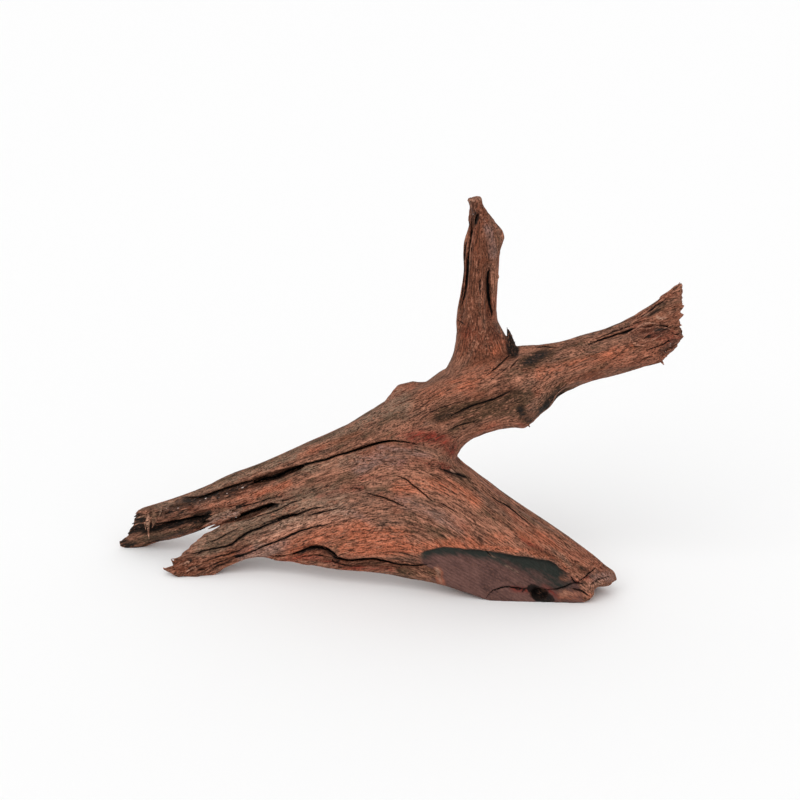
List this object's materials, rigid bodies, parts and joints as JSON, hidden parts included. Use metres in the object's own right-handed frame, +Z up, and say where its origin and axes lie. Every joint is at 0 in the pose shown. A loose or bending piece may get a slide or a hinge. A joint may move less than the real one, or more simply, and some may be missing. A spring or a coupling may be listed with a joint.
{
  "type": "piece of driftwood",
  "caption": "Weathered driftwood root: a leaning limb with an upright broken branch and a flared end, grown together with an arched root that ends in a sawn foot.",
  "frame": {"origin": "under the middle of the bounding box, on the surface that the wood stands on", "axes": "+X along its length to the right of the picture, -Y towards the picture's viewer, +Z up"},
  "size_m": [0.4624, 0.132, 0.3211],
  "materials": {
    "wood": "weathered bare wood, matt, reddish brown with grey-green and black hollows"
  },
  "bodies": {
    "root": {"driftwood": "wood"}
  },
  "joints": []
}
